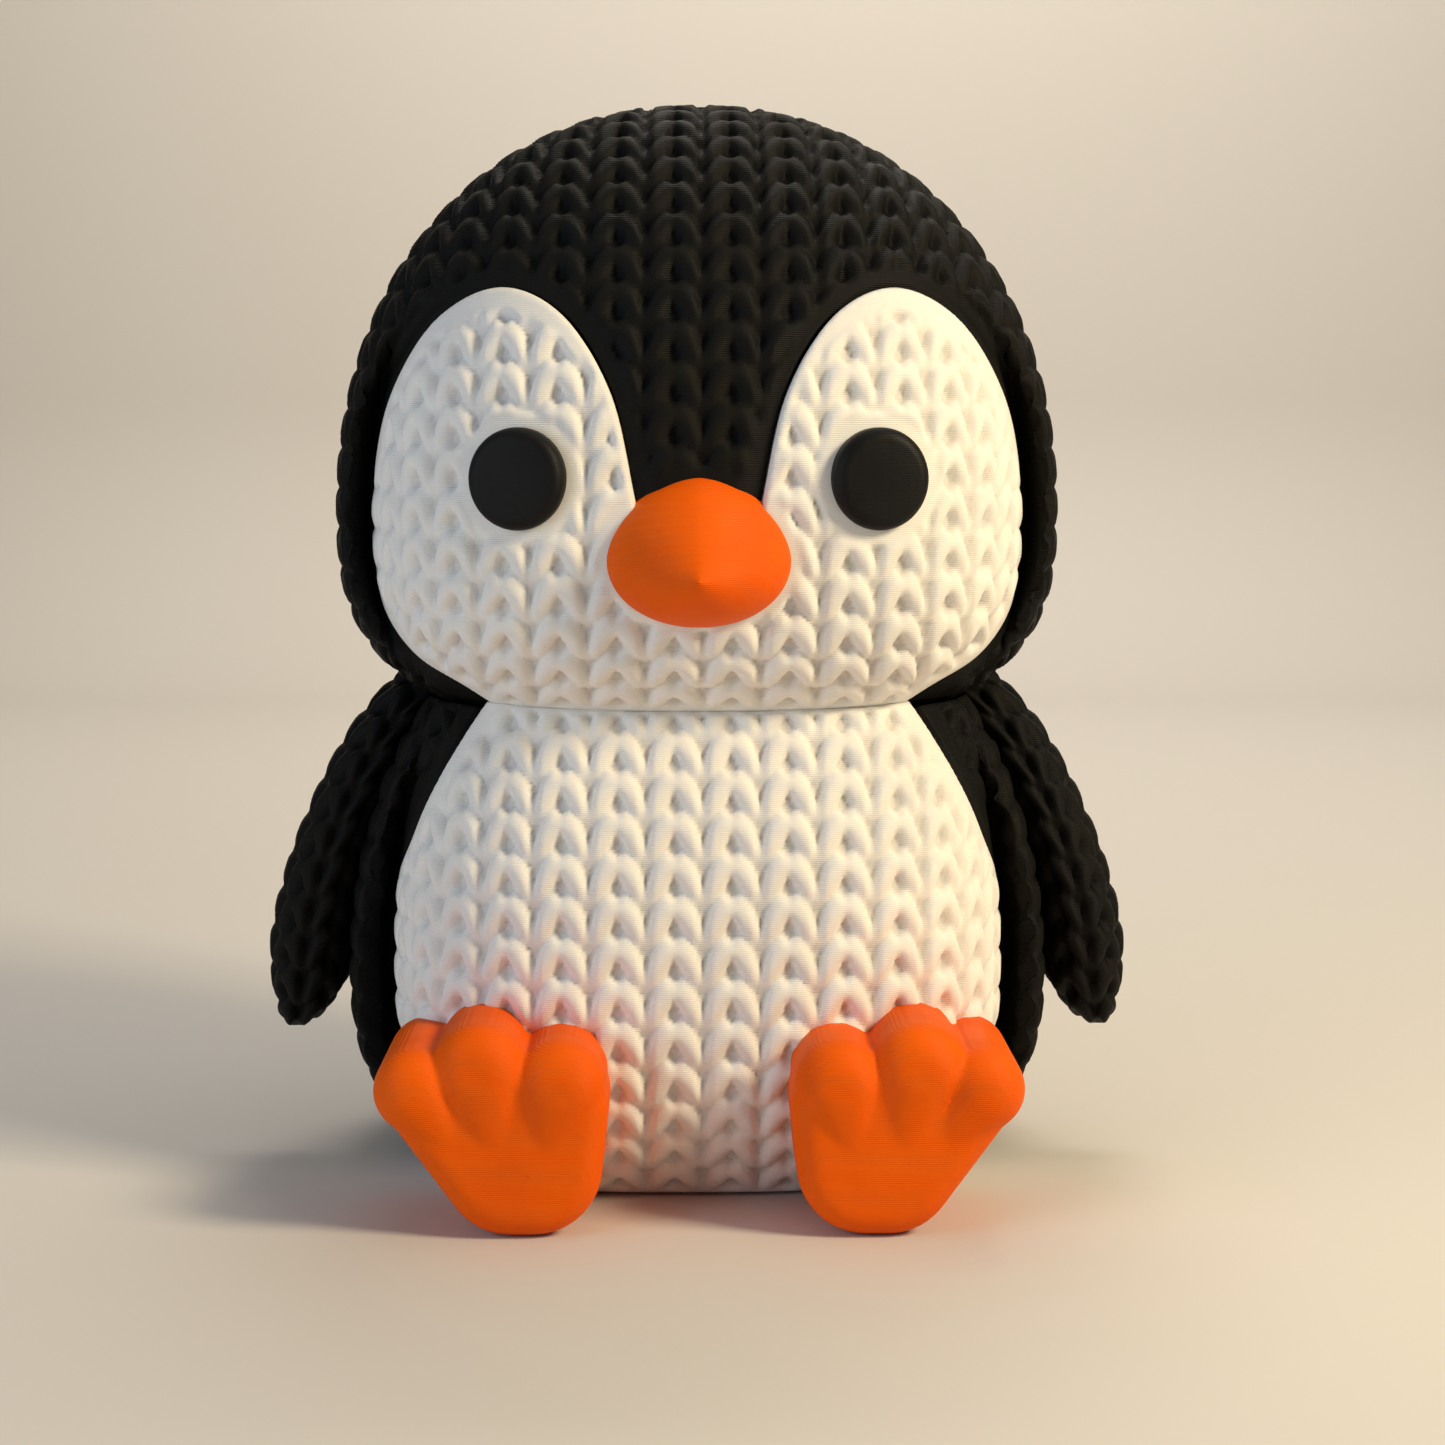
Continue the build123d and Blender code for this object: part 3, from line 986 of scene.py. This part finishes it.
@dataclass
class Panel:
    """A white shell over the front of the figure, rounded over at its edge."""

    node: str
    egg: Egg
    edge: Outline
    back: float
    low: float
    high: float
    cell: float
    reach: float
    phase: tuple[float, float]
    margin: float
    wall: tuple[float, float, float]
    top_margin: tuple[float, float, float] = (1.0, 78.0, 88.0)
    free_below: tuple[float, float] = (66.0, 74.0)
    rim: float = 0.4

    def field(self, points: np.ndarray) -> np.ndarray:
        """Distance outside the panel, negative on it. Its lower sides run a little further round."""
        freed = (1 - smooth(points[:, 2], *self.free_below)) * smooth(np.abs(points[:, 0]), 20.0, 30.0)
        return np.maximum(self.edge.beyond(points) - freed, points[:, 1] - self.back)

    def calm(self, points: np.ndarray) -> np.ndarray:
        """Where the stitches give way to a plain margin, which widens towards the top.

        Args:
            points: Places on the panel.

        Returns:
            A number from 0 on stitches to 1 on the margin.
        """
        more, low, high = self.top_margin
        width = self.margin + more * smooth(points[:, 2], low, high)
        return 1 - smooth(-self.field(points) - width, 0.0, 0.9)

    def inner(self, points: np.ndarray) -> np.ndarray:
        """The inner face of the shell."""
        middle = np.array([0.0, 0.0, self.egg.waist])
        return middle + (points - middle) * np.array(self.wall)

    def build(self) -> bpy.types.Object:
        """Make the panel with its stitches and its inner face.

        Returns:
            The finished piece.
        """
        grid = (self.cell, -FAR)
        skin = self.egg.skin(self.low, self.high, grid, (self.cell, 1.0), self.phase, self.reach)
        field = skin.snap(self.field(skin.points))
        faces = skin.faces(field)
        used = np.unique(np.concatenate([np.array(f) for f in faces]))
        number = np.full(len(skin.values), -1)
        number[used] = np.arange(len(used))
        faces = [[int(number[i]) for i in f] for f in faces]
        values = skin.values[used]
        values[:, 8] = self.calm(values[:, 0:3])
        plain = values[:, 0:3].copy()
        edge = np.clip(1 + self.field(plain) / self.rim, 0, 1)
        drop = self.rim * 0.8 * (1 - np.sqrt(1 - np.clip(edge, 0, 0.98) ** 2))
        values[:, 0:3] -= values[:, 3:6] * drop[:, None]
        behind = np.zeros_like(values)
        behind[:, 0:3] = self.inner(plain)
        behind[:, 8] = 1.0
        count = len(values)
        inner_faces = [[i + count for i in reversed(f)] for f in faces]
        walls = self.walls(faces, count)
        lift = np.concatenate([np.ones(count), np.zeros(count)])
        both = np.vstack([values, behind])
        piece = make_piece(self.node + "_shell", both[:, 0:3], faces + inner_faces + walls)
        carry_values(piece, both, lift)
        STITCHES.work(piece, WHITE_PRINT.material())
        return piece

    def walls(self, faces: list, count: int) -> list:
        """Faces that join the outer edge to the inner one.

        Args:
            faces: The outer faces.
            count: Corners of the outer face.

        Returns:
            The wall's faces.
        """
        runs = {}
        for face in faces:
            for a, b in zip(face, face[1:] + face[:1]):
                runs[(a, b)] = True
        return [[b, a, a + count, b + count] for a, b in runs if (b, a) not in runs]

    def dress(self, piece: bpy.types.Object) -> None:
        """Give the panel its filament and its place."""
        settle(piece, WHITE_PRINT, self.node)


@dataclass
class Face(Panel):
    """The white face, with plain rings round the eyes."""

    eye: tuple[float, float] = (16.9, 70.8)
    eye_size: tuple[float, float] = (4.65, 4.8)

    def calm(self, points: np.ndarray) -> np.ndarray:
        """A plain margin at the edge, the chin and the beak, and round each eye.

        Args:
            points: Places on the panel.

        Returns:
            A number from 0 on stitches to 1 on the margin.
        """
        across = (np.abs(points[:, 0]) - self.eye[0]) / self.eye_size[0]
        up = (points[:, 2] - self.eye[1]) / self.eye_size[1]
        ring = (np.hypot(across, up) - 1) * sum(self.eye_size) / 2
        chin = np.where(points[:, 2] < 60, BELLY_EGG.outside(points), FAR)
        plain = np.maximum(1 - smooth(ring, 1.1, 1.9), 1 - smooth(chin, 0.1, 0.9))
        return np.maximum(super().calm(points), np.maximum(plain, beak_ring(points)))


@dataclass
class Belly(Panel):
    """The white belly, which runs up under the head and down to the ground."""

    tuck: float = 0.35

    def field(self, points: np.ndarray) -> np.ndarray:
        """Distance outside the edge, the head above and the ground below.

        Args:
            points: Places on the belly.

        Returns:
            A distance for each place, negative on the panel.
        """
        head = -FACE_EGG.grow(-self.tuck).outside(points)
        head = np.where(points[:, 2] > UNDER_HEAD, head, -FAR)
        return np.maximum(np.maximum(super().field(points), head), -points[:, 2])

    def inner(self, points: np.ndarray) -> np.ndarray:
        """The inner face, kept under the head and level with the ground.

        Args:
            points: Places on the outer face.

        Returns:
            The same number of places on the inner one.
        """
        moved = super().inner(points)
        top = FACE_EGG.grow(0.15).under(moved[:, 0], moved[:, 1])
        moved[:, 2] = np.where(moved[:, 2] > UNDER_HEAD, np.minimum(moved[:, 2], top), moved[:, 2])
        return moved


@dataclass
class Flipper:
    """One black flipper: a flat rounded blade that hangs from the shoulder, knitted along its length."""

    side: Side
    rings: tuple[tuple[float, ...], ...] = (
        (12.9, 42.2, 0.0, -2.0, 0.0), (13.2, 42.15, 1.2, -2.0, 2.2), (14.0, 41.9, 2.1, -1.9, 3.7),
        (17.0, 41.1, 3.7, -1.5, 6.4), (23.0, 40.2, 4.8, -0.8, 9.0), (30.5, 38.5, 4.7, -0.3, 10.0),
        (38.0, 35.7, 4.5, 0.0, 9.6), (45.0, 31.9, 4.4, 0.2, 8.2), (50.0, 28.0, 3.9, 0.3, 6.0),
        (52.2, 26.2, 2.4, 0.3, 3.6), (53.0, 25.4, 0.0, 0.3, 0.0),
    )
    square: float = 2.3
    cell: float = 0.42
    phase: tuple[float, float] = (0.0, 0.1)

    def build(self) -> bpy.types.Object:
        """Make the flipper with its stitches.

        Returns:
            The finished piece.
        """
        path = self.smoothed()
        centre = path[:, [1, 3, 0]]
        run = np.concatenate([[0], np.cumsum(np.linalg.norm(np.diff(centre, axis=0), axis=1))])
        count = round(run[-1] / self.cell)
        # Rings crowd together towards both ends, where the blade closes.
        ease = np.linspace(0, 1, count)
        at = run[-1] * (ease - 0.5 * np.sin(2 * math.pi * ease) / (2 * math.pi))
        at[0], at[-1] = run[-1] * 2e-4, run[-1] * (1 - 2e-4)
        path = np.stack([np.interp(at, run, path[:, i]) for i in range(5)], axis=1)
        turns = 108
        turn = np.linspace(0, 2 * math.pi, turns, endpoint=False)
        flat = np.sign(np.sin(turn)) * np.abs(np.sin(turn)) ** (2 / self.square)
        long = -np.sign(np.cos(turn)) * np.abs(np.cos(turn)) ** (2 / self.square)
        x = path[:, 1:2] + path[:, 2:3] * flat
        y = path[:, 3:4] + path[:, 4:5] * long
        z = np.broadcast_to(path[:, 0:1], x.shape)
        grid = np.stack([x, y, z], axis=-1)
        out = np.cross(np.roll(grid, -1, 1) - np.roll(grid, 1, 1), np.gradient(grid, axis=0))
        out /= np.maximum(np.linalg.norm(out, axis=-1, keepdims=True), 1e-9)
        hop = np.linalg.norm(np.roll(grid, -1, 1) - grid, axis=-1)
        around = np.cumsum(hop, axis=1) - hop
        whole = hop.sum(1, keepdims=True)
        around = np.where(around > whole / 2, around - whole, around)
        column = (around + self.phase[0]) / COLUMN_PITCH
        row = np.broadcast_to((at / ROW_HEIGHT + self.phase[1])[:, None], x.shape)
        stacked = [grid, out, column[..., None], row[..., None], np.zeros((*x.shape, 1))]
        values = np.concatenate(stacked, axis=-1).reshape(-1, 9)
        added, fans = close_poles(values[:, 0:3], turns)
        faces = grid_quads(count, turns, True).tolist() + fans
        extra = np.zeros((2, 9))
        extra[:, 0:3] = added
        values = np.vstack([values, extra])
        lift = np.concatenate([np.ones(len(values) - 2), np.zeros(2)])
        reach = np.concatenate([np.repeat(np.minimum(path[:, 2], 1.0), turns), np.zeros(2)])
        piece = make_piece(self.side.name.lower() + "_flipper_blade", values[:, 0:3], faces)
        carry_values(piece, values, lift * reach)
        STITCHES.work(piece, BLACK_PRINT.material())
        if self.side is Side.RIGHT:
            mirror_mesh(piece)
        return piece

    def smoothed(self) -> np.ndarray:
        """The blade's rings joined by a smooth curve.

        Returns:
            Closely spaced rings.
        """
        knots = np.array(self.rings)
        path = curve_through(np.vstack([knots[0], knots, knots[-1]]), 24)
        path[:, [2, 4]] = np.maximum(path[:, [2, 4]], 0.0)
        return path

    def dress(self, piece: bpy.types.Object) -> None:
        """Give the flipper its filament and its place."""
        settle(piece, BLACK_PRINT, self.side.name.lower() + "_flipper")


@dataclass
class Foot:
    """One orange foot: three blunt toes over a broad sole that faces forwards."""

    side: Side
    toes: tuple[tuple[float, float, float], ...] = ((26.6, 13.9, 3.95), (20.6, 15.7, 4.5), (13.1, 14.4, 4.35))
    sole: tuple[tuple[float, float, float], ...] = (
        (25.8, 13.0, 3.75), (20.6, 13.0, 4.0), (13.0, 12.4, 4.5), (15.6, 6.6, 6.5), (17.8, 6.4, 6.3),
    )
    toe_tails: tuple[tuple[float, float, float], ...] = ((22.7, 8.6, 2.0), (19.0, 8.0, 2.2), (14.4, 8.2, 2.2))
    tail_front: float = 38.9
    toe_front: float = 40.2
    toe_round: float = 3.4
    sole_front: float = 39.2
    sole_round: float = 2.4
    back: float = 21.0
    voxel: float = 0.3

    def rounded(self, circle: tuple[float, float, float], front: float, ease: float) -> list[Vector]:
        """Points over a short rod that faces forwards, rounded at its front.

        Args:
            circle: Its x, z and radius.
            front: How far forwards it reaches.
            ease: Radius of its rounding.

        Returns:
            Points on its surface.
        """
        x, z, radius = circle
        points = []
        for ring in range(10):
            bend = math.pi / 2 * ring / 9
            size = radius - ease + ease * math.cos(bend)
            depth = front - ease + ease * math.sin(bend)
            for step in range(40):
                turn = 2 * math.pi * step / 40
                points.append(Vector((x + size * math.cos(turn), -depth, z + size * math.sin(turn))))
                if ring == 0:
                    points.append(Vector((x + size * math.cos(turn), -self.back, z + size * math.sin(turn))))
        return points

    def build(self) -> bpy.types.Object:
        """Make the foot as one blended lump.

        Returns:
            The finished piece.
        """
        lump = bmesh.new()
        groups = [
            self.rounded(toe, self.toe_front, self.toe_round) + self.rounded(tail, self.tail_front, 1.6)
            for toe, tail in zip(self.toes, self.toe_tails)
        ]
        rods = [self.rounded(circle, self.sole_front, self.sole_round) for circle in self.sole]
        sole = [point for rod in rods for point in rod]
        for group in [*groups, sole]:
            corners = [lump.verts.new(point * MM) for point in group]
            bmesh.ops.convex_hull(lump, input=corners)
            loose = [v for v in corners if v.is_valid and not v.link_faces]
            bmesh.ops.delete(lump, geom=loose, context="VERTS")
        name = self.side.name.lower() + "_foot_lump"
        mesh = bpy.data.meshes.new(name)
        lump.to_mesh(mesh)
        lump.free()
        piece = bpy.data.objects.new(name, mesh)
        bpy.context.scene.collection.objects.link(piece)
        blend = piece.modifiers.new("blend", "REMESH")
        blend.mode = "VOXEL"
        blend.voxel_size = self.voxel * MM
        ease = piece.modifiers.new("ease", "SMOOTH")
        ease.factor = 0.5
        ease.iterations = 6
        make_plain(piece)
        piece.data.shade_smooth()
        if self.side is Side.RIGHT:
            mirror_mesh(piece)
        return piece

    def dress(self, piece: bpy.types.Object) -> None:
        """Give the foot its filament and its place."""
        settle(piece, ORANGE_PRINT, self.side.name.lower() + "_foot")


@dataclass
class Beak:
    """The orange beak: a blunt four-sided horn with a soft ridge down its middle."""

    wide: float = 8.9
    up: float = 8.0
    down: float = 6.5
    height: float = 63.4
    powers: tuple[float, float] = (1.72, 2.05)
    reach: tuple[float, float] = (31.5, 40.6)
    seat: float = 28.5
    dip: float = 1.9
    crown: tuple[float, float] = (2.1, 1.08)
    rings: int = 46

    def build(self) -> bpy.types.Object:
        """Make the beak from the face out to its tip.

        Returns:
            The finished piece.
        """
        start, tip = self.reach
        bends = np.linspace(0, math.pi / 2, self.rings)[:-1]
        ahead = np.concatenate([[self.seat], start + (tip - start) * np.sin(bends)])
        step = np.clip((ahead - start) / (tip - start), 0, 1)
        size = (1 - step ** self.crown[0]) ** (1 / self.crown[1])
        turn = np.linspace(0, 2 * math.pi, 128, endpoint=False)
        power = np.where(np.sin(turn) >= 0, self.powers[0], self.powers[1])
        across = np.sign(np.cos(turn)) * np.abs(np.cos(turn)) ** (2 / power)
        over = np.sign(np.sin(turn)) * np.abs(np.sin(turn)) ** (2 / power)
        tall = np.where(over >= 0, self.up, self.down)
        x = size[:, None] * self.wide * across
        z = self.height + size[:, None] * tall * over - self.dip * step[:, None] ** 1.8
        y = np.broadcast_to(-ahead[:, None], x.shape)
        points = np.stack([x, y, z], axis=-1).reshape(-1, 3)
        added, fans = close_poles(points, len(turn))
        faces = grid_quads(len(ahead), len(turn), True).tolist() + fans
        return make_piece("beak_horn", np.vstack([points, added]), faces)

    def dress(self, piece: bpy.types.Object) -> None:
        """Give the beak its filament and its place."""
        settle(piece, ORANGE_PRINT, "beak")


@dataclass
class Eye:
    """One dark oval eye, slightly domed and faintly faceted from its printing."""

    side: Side
    spot: tuple[float, float, float] = (16.9, -32.2, 70.8)
    wide: float = 9.3
    high: float = 9.6
    turn: float = 13.0
    proud: float = 1.4
    seat: float = 1.2
    ease: float = 1.1
    dome: float = 0.22
    facet: float = 0.012
    facet_wide: float = 1.5

    def build(self) -> bpy.types.Object:
        """Make the eye as a shallow button.

        Returns:
            The finished piece.
        """
        turns = 96
        turn = np.linspace(0, 2 * math.pi, turns, endpoint=False)
        bends = np.linspace(0, math.pi / 2, 9)
        inset = np.concatenate([[0.0], self.ease * (1 - np.cos(bends)), np.linspace(self.ease, 4.3, 26)[1:]])
        level = np.concatenate([[-self.seat], self.proud - self.ease + self.ease * np.sin(bends),
                                np.full(25, self.proud)])
        share = 1 - inset / (self.wide / 2)
        dome = self.dome * (1 - share**2)
        across = share[:, None] * np.cos(turn) * self.wide / 2
        up = (1 - inset / (self.high / 2))[:, None] * np.sin(turn) * self.high / 2
        facet = np.abs(np.mod(across / self.facet_wide + 0.3, 1.0) - 0.5)
        facet = self.facet * facet * smooth(inset, 0.8, 1.2)[:, None]
        out = level[:, None] + np.where(level > 0, dome, 0)[:, None] + facet
        angle = math.radians(self.turn)
        spot = np.array(self.spot)
        side = np.array([math.cos(angle), math.sin(angle), 0.0])
        look = np.array([math.sin(angle), -math.cos(angle), 0.0])
        points = spot + across[..., None] * side + up[..., None] * np.array([0.0, 0.0, 1.0])
        points = points + out[..., None] * look
        points = points.reshape(-1, 3)
        added, fans = close_poles(points, turns)
        faces = grid_quads(len(inset), turns, True).tolist() + fans
        points = np.vstack([points, added])
        name = self.side.name.lower() + "_eye_button"
        if self.side is Side.RIGHT:
            points[:, 0] *= -1
            faces = [list(reversed(face)) for face in faces]
        return make_piece(name, points, faces)

    def dress(self, piece: bpy.types.Object) -> None:
        """Give the eye its filament and its place."""
        settle(piece, EYE_PRINT, self.side.name.lower() + "_eye")


# --- The studio -------------------------------------------------------------------------------------
@dataclass
class Studio:
    """A plain pale floor, soft lights and the camera."""

    stand: tuple[float, float, float] = (-1.5, -294.5, 73.5)
    pitch: float = 5.56
    yaw: float = 0.81
    lens: float = 69.76
    wall: float = 620.0
    sweep: float = 90.0

    def build(self) -> None:
        """Set out the floor, the lights and the camera."""
        self.floor()
        figure = (0.0, 0.0, 50.0)
        self.light("key", (310, -190, 265), 110, 1.85, (1.0, 0.83, 0.55), figure)
        self.light("fill", (-300, -230, 120), 260, 0.56, (0.7, 0.82, 1.0), figure)
        self.light("top", (40, 40, 380), 260, 0.22, (1.0, 0.95, 0.88), figure)
        self.light("wall", (60, 330, 560), 260, 2.6, (1.0, 0.92, 0.8), (60.0, self.wall, 180.0))
        world = bpy.data.worlds.new("room")
        world.use_nodes = True
        world.node_tree.nodes["Background"].inputs["Color"].default_value = (0.9, 0.88, 0.86, 1)
        world.node_tree.nodes["Background"].inputs["Strength"].default_value = 0.17
        bpy.context.scene.view_settings.view_transform = "Standard"
        bpy.context.scene.world = world
        camera = bpy.data.objects.new("camera", bpy.data.cameras.new("camera"))
        camera.data.lens = self.lens
        camera.data.clip_start = 0.01
        camera.location = Vector(self.stand) * MM
        camera.rotation_euler = (math.radians(90 - self.pitch), 0, math.radians(-self.yaw))
        bpy.context.scene.collection.objects.link(camera)
        bpy.context.scene.camera = camera

    def floor(self) -> None:
        """A pale sheet that curves up behind the figure."""
        start, turn = self.wall - self.sweep, self.sweep
        bend = [(-900.0, 0.0), (start, 0.0)]
        for step in range(6, 91, 6):
            angle = math.radians(step)
            bend.append((start + turn * math.sin(angle), turn - turn * math.cos(angle)))
        bend.append((self.wall, 900.0))
        points = [(x, y, z) for y, z in bend for x in (-900.0, 900.0)]
        faces = [[2 * i, 2 * i + 1, 2 * i + 3, 2 * i + 2] for i in range(len(bend) - 1)]
        floor = make_piece("floor", np.array(points), faces)
        finish = bpy.data.materials.new("floor_paint")
        finish.use_nodes = True
        tree = finish.node_tree
        shader = tree.nodes["Principled BSDF"]
        shader.inputs["Base Color"].default_value = (0.62, 0.59, 0.55, 1)
        shader.inputs["Roughness"].default_value = 0.7
        floor.data.materials.append(finish)

    def light(self, name: str, place: tuple[float, float, float], size: float, power: float,
              tint: Color, target: tuple[float, float, float]) -> None:
        """One soft square light.

        Args:
            name: The light's name.
            place: Where it stands, in millimetres.
            size: Its side, in millimetres.
            power: Its power in watts.
            tint: Its colour.
            target: The place it is aimed at.
        """
        lamp = bpy.data.lights.new(name, "AREA")
        lamp.size = size * MM
        lamp.energy = power
        lamp.color = tint
        stand = bpy.data.objects.new(name, lamp)
        stand.location = Vector(place) * MM
        aim = Vector(target) * MM - stand.location
        stand.rotation_euler = aim.to_track_quat("-Z", "Y").to_euler()
        bpy.context.scene.collection.objects.link(stand)


def main() -> None:
    """Build the penguin piece by piece, then the studio."""
    logging.basicConfig(level=logging.INFO, format="%(name)s %(message)s")
    parts = [
        Hood("head", HEAD_EGG, FACE_EDGE, FACE_BACK, 44.2, 108.76, (0.45, 50.0), (0.45, 0.7),
             (-0.4, 0.28), 1.3, 0.85, FACE_EGG, 3.0),
        Face("face_panel", FACE_EGG, FACE_EDGE, FACE_BACK, 44.6, 92.0, 0.34, 0.52, (-0.4, 0.28), 0.5,
             (0.88, 0.88, 0.88), (1.7, 81.0, 88.0)),
        Trunk("body", BODY_EGG, BELLY_EDGE, BELLY_BACK, 0.0, 61.9, (0.5, 0.0), (0.5, 0.7),
              (-0.4, 0.28), 0.9, 0.84, BELLY_EGG, 4.0),
        Belly("belly_panel", BELLY_EGG, BELLY_EDGE, BELLY_BACK, -0.6, 54.0, 0.35, 0.52, (-0.4, 0.28), 0.2,
              (0.87, 0.87, 1.0), (0.8, 34.0, 44.0), (27.0, 36.0)),
        Beak(),
    ]
    for side in Side:
        parts += [Eye(side), Flipper(side), Foot(side)]
    for part in parts:
        piece = part.build()
        part.dress(piece)
    Studio().build()


if __name__ == "__main__":
    main()
